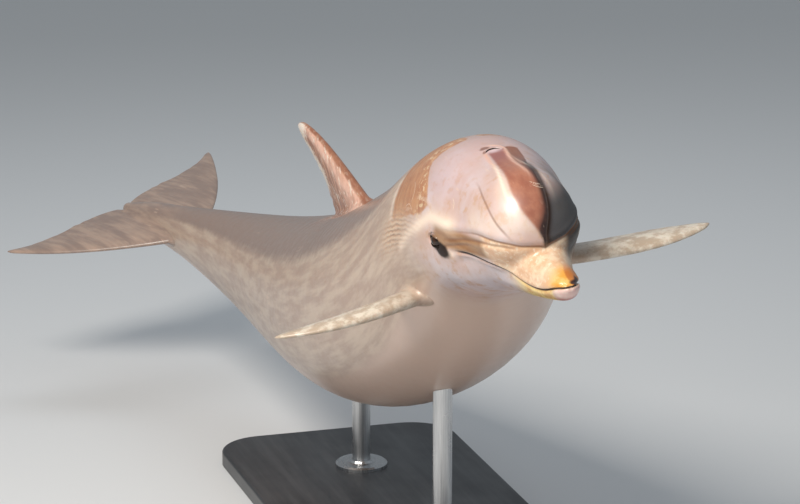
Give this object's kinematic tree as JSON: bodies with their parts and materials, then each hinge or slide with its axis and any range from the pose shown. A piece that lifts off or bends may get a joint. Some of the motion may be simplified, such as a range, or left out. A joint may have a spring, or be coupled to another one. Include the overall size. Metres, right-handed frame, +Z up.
{
  "type": "bottlenose dolphin display model",
  "caption": "Life-size bottlenose dolphin held on a display stand as if swimming at the surface, head raised, mouth closed, tail swung to its right.",
  "frame": {"origin": "middle of the underside of the stand's base, on the floor", "axes": "+Z up; the dolphin looks along -Y; its left side is towards +X"},
  "size_m": [0.9944, 2.4948, 0.9487],
  "materials": {
    "back_skin": "wet grey-brown skin",
    "face_skin": "wet pinkish-brown skin",
    "beak_skin": "wet orange-tan skin",
    "chin_skin": "wet pale pink skin",
    "fin_skin": "wet reddish-brown skin",
    "flipper_skin": "wet beige-grey skin",
    "eye": "wet dark eye",
    "stand_board": "dark satin lacquer",
    "stand_steel": "satin steel"
  },
  "bodies": {
    "root": {"beak_upper": "beak_skin", "head": "face_skin", "lower_jaw": "chin_skin", "eye_left": "eye", "eye_right": "eye", "neck": "back_skin", "chest": "back_skin", "loin": "back_skin", "tail_root": "back_skin", "tail_stock": "back_skin", "dorsal_fin": "fin_skin", "flipper_left": "flipper_skin", "flipper_right": "flipper_skin", "fluke_left": "fin_skin", "fluke_right": "fin_skin", "stand_base": "stand_board", "stand_rod_front": "stand_steel", "stand_rod_rear": "stand_steel", "stand_flange_front": "stand_steel", "stand_flange_rear": "stand_steel"}
  },
  "joints": []
}
